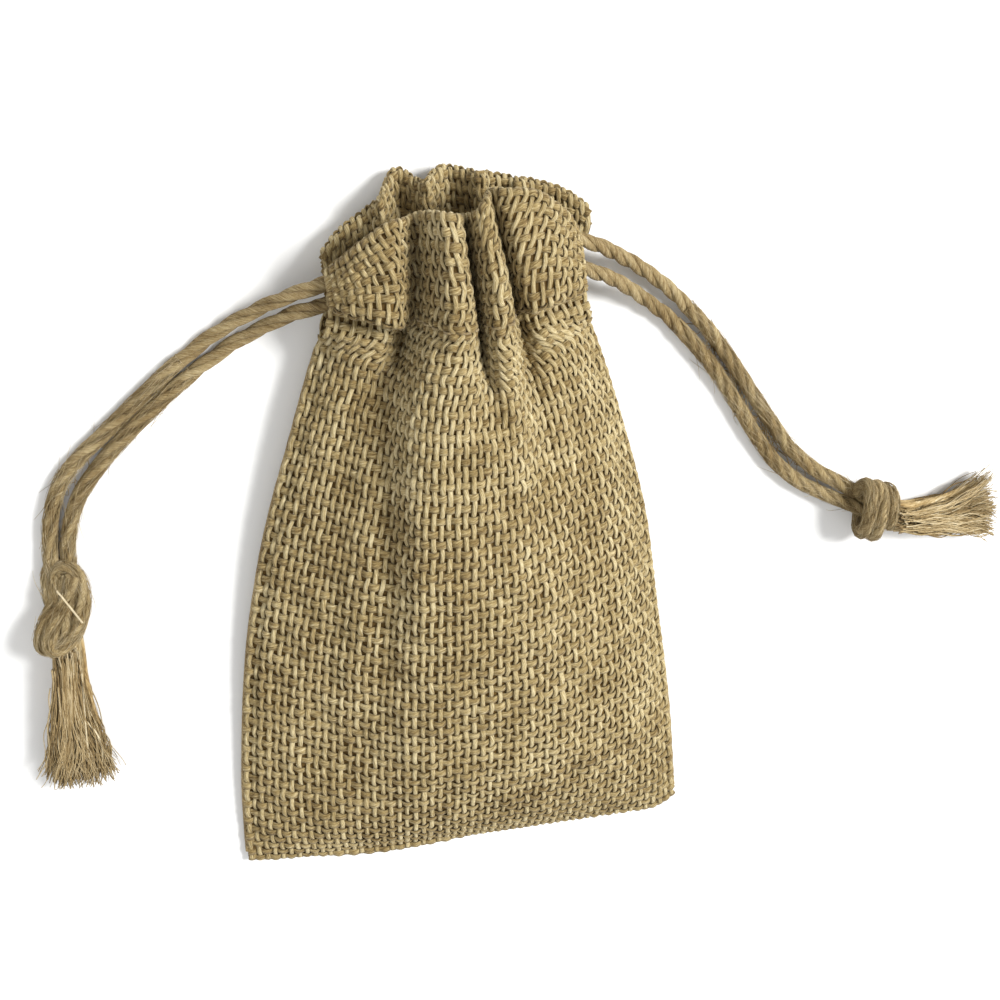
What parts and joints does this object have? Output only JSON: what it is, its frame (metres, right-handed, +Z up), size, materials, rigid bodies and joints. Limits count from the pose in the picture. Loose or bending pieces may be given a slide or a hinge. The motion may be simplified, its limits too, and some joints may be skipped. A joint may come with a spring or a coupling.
{
  "type": "drawstring gift pouch",
  "caption": "Small burlap gift pouch lying on its back, gathered shut at a ruffled neck by two knotted jute drawcords with frayed ends.",
  "frame": {"origin": "on the surface the pouch lies on, under the middle of the pouch's own length and width, its free cords not counted", "axes": "+Y from the folded base towards the mouth, +X across the pouch, +Z up out of the front panel"},
  "size_m": [0.2145, 0.15, 0.0259],
  "materials": {
    "burlap": "coarse open plain weave of natural straw-coloured jute, matt",
    "burlap_seam": "doubled burlap edge turned to the inside, matt",
    "sewing_thread": "spun straw-coloured thread, matt",
    "jute_cord": "three-ply twisted jute cord, hairy and matt",
    "jute_fray": "loose combed jute fibres, slightly silky"
  },
  "bodies": {
    "root": {"back_panel": "burlap", "front_panel": "burlap", "left_side_seam": "burlap_seam", "right_side_seam": "burlap_seam", "back_casing": "burlap", "back_ruffle": "burlap", "back_hem_stitch": "sewing_thread", "left_cord_back_run": "jute_cord", "right_cord_back_run": "jute_cord"},
    "mouth_front": {"front_shoulder": "burlap", "front_casing": "burlap", "front_ruffle": "burlap", "front_hem_stitch": "sewing_thread", "left_cord_front_run": "jute_cord", "right_cord_front_run": "jute_cord"},
    "left_cord": {"left_outer_exit": "jute_cord", "left_inner_exit": "jute_cord"},
    "left_cord_end": {"left_outer_strand": "jute_cord", "left_inner_strand": "jute_cord", "left_knot": "jute_cord", "left_tassel": "jute_fray"},
    "right_cord": {"right_outer_exit": "jute_cord", "right_inner_exit": "jute_cord"},
    "right_cord_end": {"right_outer_strand": "jute_cord", "right_inner_strand": "jute_cord", "right_knot": "jute_cord", "right_tassel": "jute_fray"}
  },
  "joints": [
    {"name": "mouth_open", "type": "hinge", "parent": "root", "child": "mouth_front", "pos_m": [0, -0.012, 0.0252], "axis": [1, 0, 0], "range_deg": [0, 8]},
    {"name": "left_cord_draw", "type": "slide", "parent": "root", "child": "left_cord", "axis": [1, 0, 0], "range_m": [0, 0.006]},
    {"name": "right_cord_draw", "type": "slide", "parent": "root", "child": "right_cord", "axis": [-1, 0, 0], "range_m": [0, 0.006]},
    {"name": "left_cord_swing", "type": "hinge", "parent": "left_cord", "child": "left_cord_end", "pos_m": [-0.0486, 0.042, 0.0016], "axis": [0, 0, 1], "range_deg": [-15, 12]},
    {"name": "right_cord_swing", "type": "hinge", "parent": "right_cord", "child": "right_cord_end", "pos_m": [0.046, 0.0458, 0.0016], "axis": [0, 0, 1], "range_deg": [-12, 15]}
  ],
  "couplings": [
    {"joint": "left_cord_draw", "follows": "mouth_open", "m_per_rad": 0.0429},
    {"joint": "right_cord_draw", "follows": "mouth_open", "m_per_rad": 0.0429}
  ]
}
